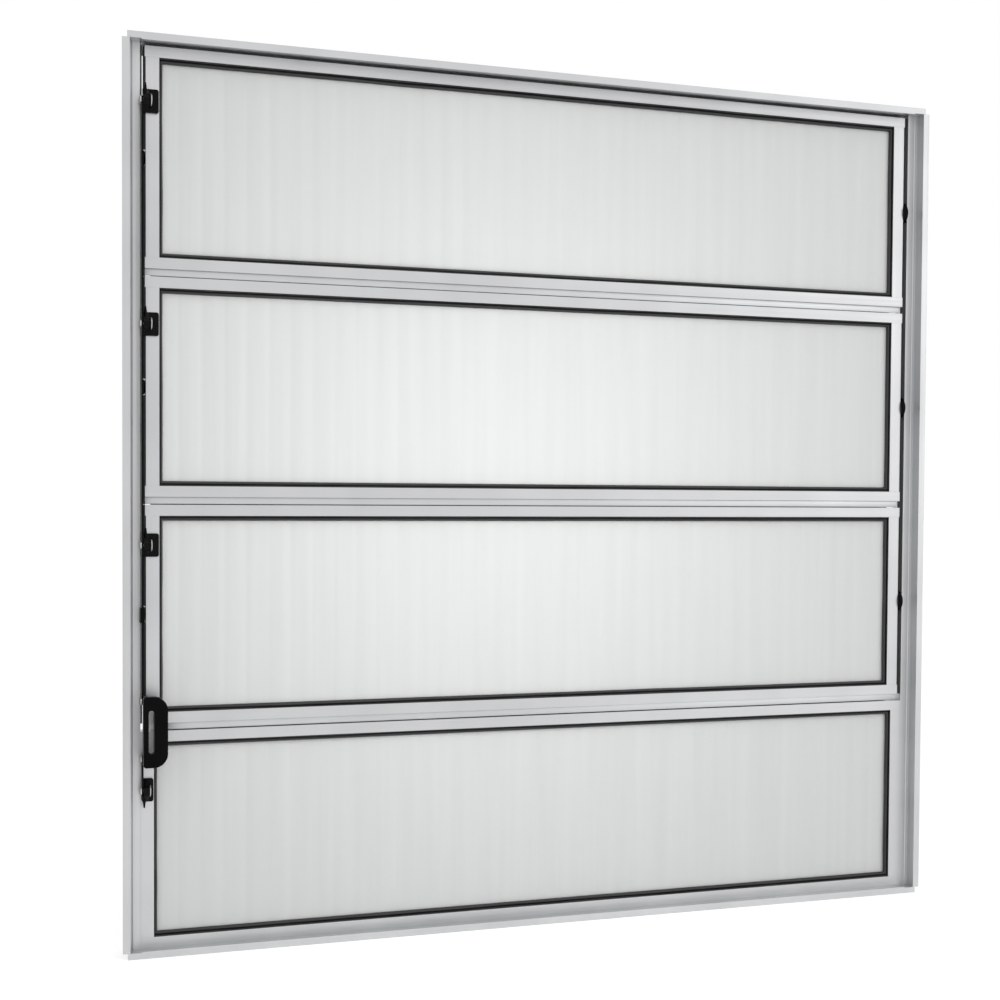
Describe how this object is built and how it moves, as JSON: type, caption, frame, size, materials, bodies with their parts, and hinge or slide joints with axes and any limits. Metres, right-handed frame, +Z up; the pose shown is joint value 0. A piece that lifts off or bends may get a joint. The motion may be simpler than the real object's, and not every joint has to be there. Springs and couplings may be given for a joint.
{
  "type": "pivot window",
  "caption": "Square aluminium window with horizontal tilting sashes of fluted glass over a fixed light, joined by a side link bar with a D handle.",
  "frame": {"origin": "middle of the sill's underside, the flat face that bears on the wall opening; the fin reaches 5.5 mm below it", "axes": "+X to the right seen from the room, +Y from the room to the outside, +Z up"},
  "size_m": [1, 0.054, 1],
  "materials": {
    "matt_aluminium": "matt anodised",
    "black_rubber": "matt",
    "fluted_glass": "fluted",
    "black_nylon": "satin moulded",
    "black_steel": "black satin",
    "rivet_steel": "zinc plated"
  },
  "bodies": {
    "root": {"fixed_light_bottom_rail": "matt_aluminium", "fixed_light_bracket": "black_steel", "fixed_light_gasket": "black_rubber", "fixed_light_glass": "fluted_glass", "fixed_light_left_stile": "matt_aluminium", "fixed_light_right_stile": "matt_aluminium", "fixed_light_top_rail": "matt_aluminium", "handle": "black_nylon", "head": "matt_aluminium", "left_jamb": "matt_aluminium", "left_seal": "black_rubber", "link_bar": "black_steel", "link_knuckle": "black_nylon", "link_rivets": "rivet_steel", "lower_link": "black_steel", "right_jamb": "matt_aluminium", "right_seal": "black_rubber", "sash_1_bottom_rail": "matt_aluminium", "sash_1_bracket": "black_steel", "sash_1_gasket": "black_rubber", "sash_1_glass": "fluted_glass", "sash_1_left_pivot": "black_nylon", "sash_1_left_stile": "matt_aluminium", "sash_1_right_pivot": "black_nylon", "sash_1_right_stile": "matt_aluminium", "sash_1_top_rail": "matt_aluminium", "sash_2_bottom_rail": "matt_aluminium", "sash_2_bracket": "black_steel", "sash_2_gasket": "black_rubber", "sash_2_glass": "fluted_glass", "sash_2_left_pivot": "black_nylon", "sash_2_left_stile": "matt_aluminium", "sash_2_right_pivot": "black_nylon", "sash_2_right_stile": "matt_aluminium", "sash_2_top_rail": "matt_aluminium", "sash_3_bottom_rail": "matt_aluminium", "sash_3_bracket": "black_steel", "sash_3_gasket": "black_rubber", "sash_3_glass": "fluted_glass", "sash_3_left_pivot": "black_nylon", "sash_3_left_stile": "matt_aluminium", "sash_3_right_pivot": "black_nylon", "sash_3_right_stile": "matt_aluminium", "sash_3_top_rail": "matt_aluminium", "sill": "matt_aluminium"}
  },
  "joints": []
}
